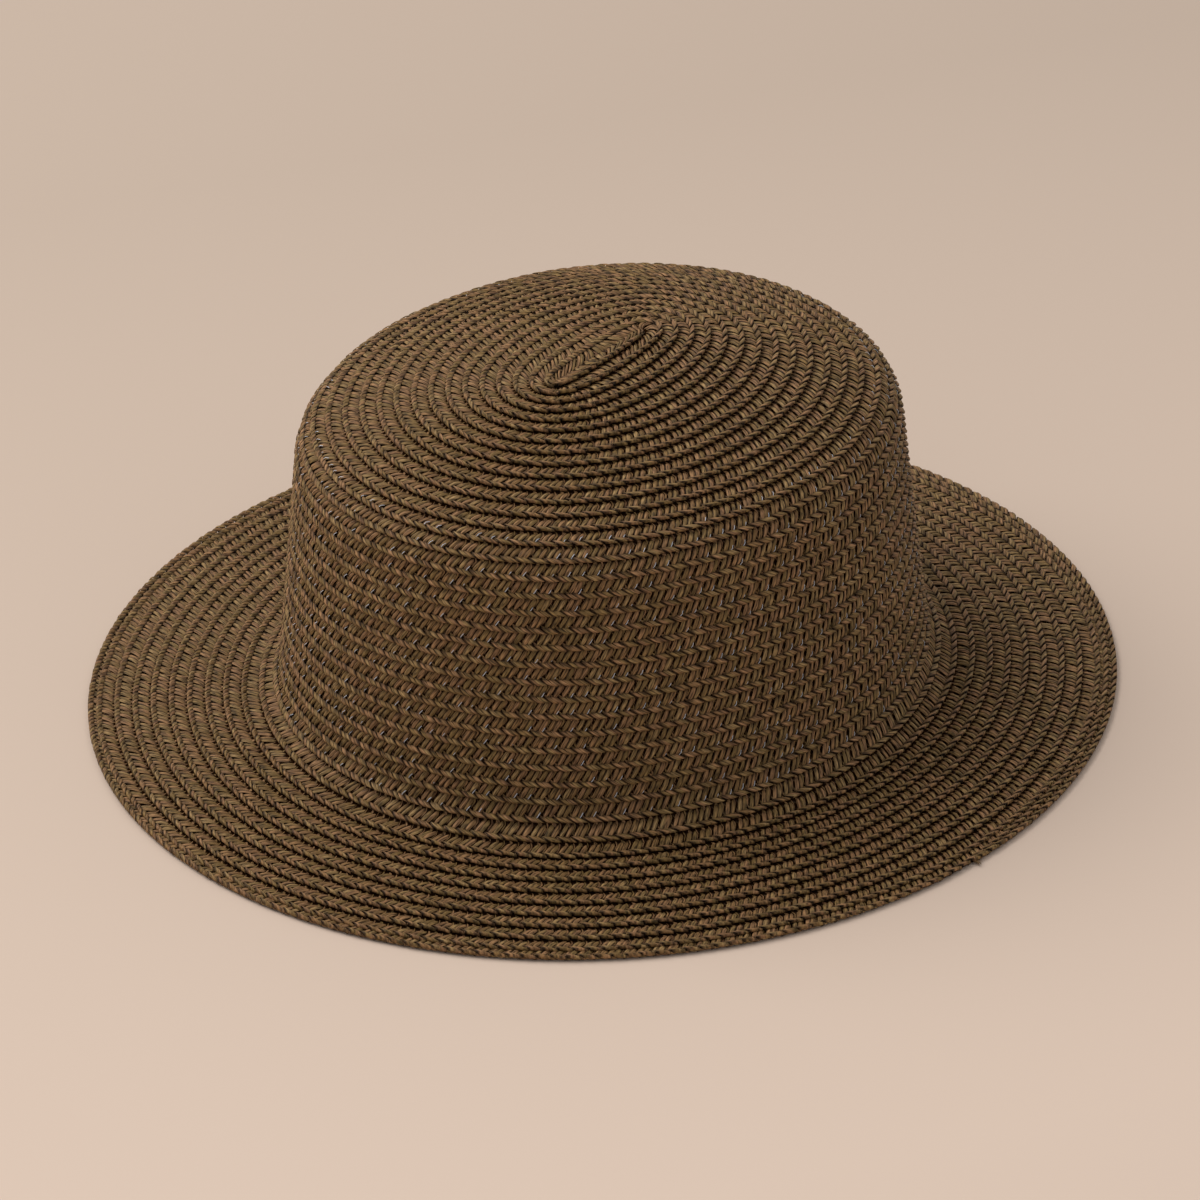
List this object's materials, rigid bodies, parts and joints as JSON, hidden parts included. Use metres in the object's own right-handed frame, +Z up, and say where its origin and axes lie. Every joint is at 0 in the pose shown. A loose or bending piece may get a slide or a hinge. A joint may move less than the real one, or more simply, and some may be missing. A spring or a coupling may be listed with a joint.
{
  "type": "straw hat",
  "caption": "Straw hat with a flat-topped round-cornered oval crown open underneath and a level brim, wound from sewn flat braid.",
  "frame": {"origin": "middle of the flat ring that the brim's edge rests on, at the surface", "axes": "+Z up through the tip of the crown, +Y to the back of the hat along its longer way, front at -Y, +X to the wearer's left"},
  "size_m": [0.286, 0.312, 0.1067],
  "materials": {
    "crown_straw": "brown paper-straw braid, matt with a faint sheen",
    "brim_straw": "brown paper-straw braid, matt with a faint sheen"
  },
  "bodies": {
    "root": {"crown": "crown_straw", "brim": "brim_straw"}
  },
  "joints": []
}
